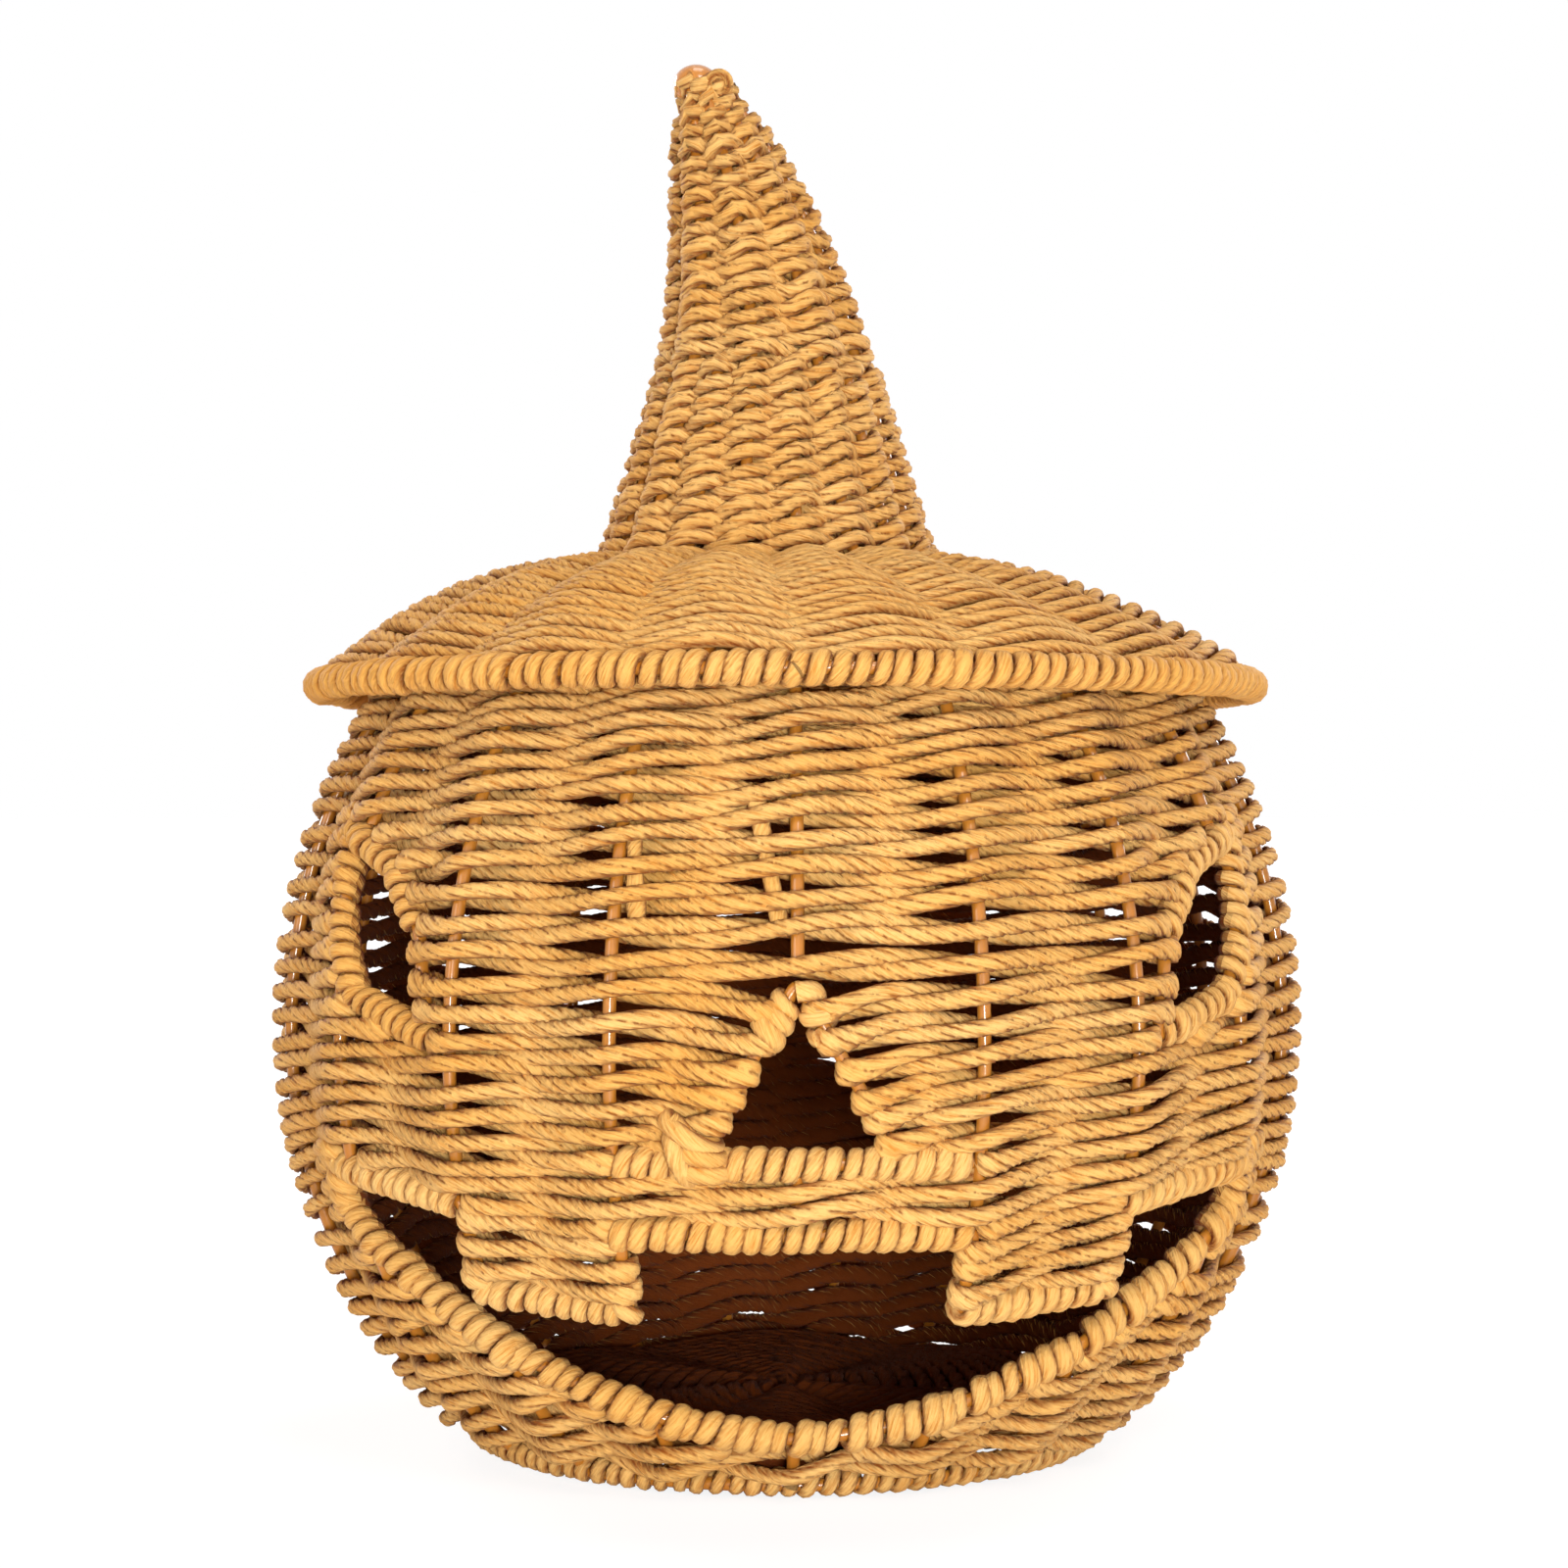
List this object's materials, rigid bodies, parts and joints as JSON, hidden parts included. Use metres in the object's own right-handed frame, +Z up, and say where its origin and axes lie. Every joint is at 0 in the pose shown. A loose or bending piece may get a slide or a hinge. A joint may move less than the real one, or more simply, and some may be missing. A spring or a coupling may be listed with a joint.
{
  "type": "pumpkin basket",
  "caption": "Round storage basket woven from twisted paper cord on a wire frame, with a jack-o'-lantern face and a lift-off lid shaped like a pointed hat.",
  "frame": {"origin": "centre of the foot, on the surface that the basket stands on", "axes": "+Z up along the basket's axis; the face looks along -Y; the hat bends towards -X"},
  "size_m": [0.2564, 0.2531, 0.3434],
  "materials": {
    "paper_cord": "matte",
    "coated_wire": "gloss"
  },
  "bodies": {
    "basket": {"foot_frame": "coated_wire", "neck_ring_wire": "coated_wire", "floor_frame": "coated_wire", "eye_right_wire": "coated_wire", "eye_left_wire": "coated_wire", "nose_wire": "coated_wire", "nose_bar_wire": "coated_wire", "upper_mouth_wire": "coated_wire", "lower_lip_wire": "coated_wire", "rib_front": "coated_wire", "rib_front_under_nose": "coated_wire", "rib_left_1": "coated_wire", "rib_left_2": "coated_wire", "rib_left_3": "coated_wire", "rib_left_3_cheek": "coated_wire", "rib_left_4": "coated_wire", "rib_left_5": "coated_wire", "rib_left_6": "coated_wire", "rib_left_7": "coated_wire", "rib_left_8": "coated_wire", "rib_left_9": "coated_wire", "rib_right_1": "coated_wire", "rib_right_2": "coated_wire", "rib_right_3": "coated_wire", "rib_right_3_cheek": "coated_wire", "rib_right_4": "coated_wire", "rib_right_5": "coated_wire", "rib_right_6": "coated_wire", "rib_right_7": "coated_wire", "rib_right_8": "coated_wire", "rib_right_9": "coated_wire", "foot_ring_wrap": "paper_cord", "neck_ring_wrap": "paper_cord", "floor_weave_top": "paper_cord", "floor_weave_under": "paper_cord", "wall_weave_outer": "paper_cord", "wall_weave_inner": "paper_cord", "eye_right_wrap": "paper_cord", "eye_left_wrap": "paper_cord", "nose_wrap": "paper_cord", "nose_bar_wrap": "paper_cord", "upper_mouth_wrap": "paper_cord", "lower_lip_wrap": "paper_cord"},
    "lid": {"brim_ring_wire": "coated_wire", "crown_frame": "coated_wire", "peak_frame": "coated_wire", "brim_ring_wrap": "paper_cord", "brim_weave_top": "paper_cord", "brim_weave_under": "paper_cord", "peak_weave_outer": "paper_cord", "peak_weave_inner": "paper_cord"}
  },
  "joints": [
    {"name": "lid_lift", "type": "slide", "parent": "basket", "child": "lid", "axis": [0, 0, 1], "range_m": [0, 0.15]}
  ]
}
